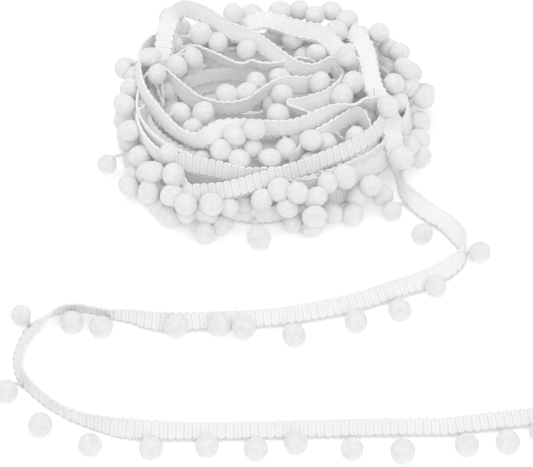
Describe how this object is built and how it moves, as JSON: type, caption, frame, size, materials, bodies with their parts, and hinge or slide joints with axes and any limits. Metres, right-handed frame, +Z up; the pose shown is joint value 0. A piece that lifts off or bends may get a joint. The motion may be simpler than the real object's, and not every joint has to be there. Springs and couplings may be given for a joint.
{
  "type": "pompom fringe trim",
  "caption": "White ribbed tape with pompoms on thread stalks along one edge, wound in a loose hollow heap, one end laid out in an S.",
  "frame": {"origin": "middle of the whole trim's box, on the surface it lies on", "axes": "+Z up, +X to the right as the picture shows it, +Y away from the viewer"},
  "size_m": [0.268, 0.2729, 0.0415],
  "materials": {
    "wound_trim": "matte woven tape and soft yarn",
    "white_tape": "matte ribbed weave",
    "white_pompom": "soft cut yarn"
  },
  "bodies": {
    "root": {"wound_heap": "wound_trim", "loose_tape": "white_tape", "pompoms_off_heap": "white_pompom", "pompoms_upper_run": "white_pompom", "pompoms_left_bend": "white_pompom", "pompoms_left_turn": "white_pompom", "pompoms_lower_run": "white_pompom"}
  },
  "joints": []
}
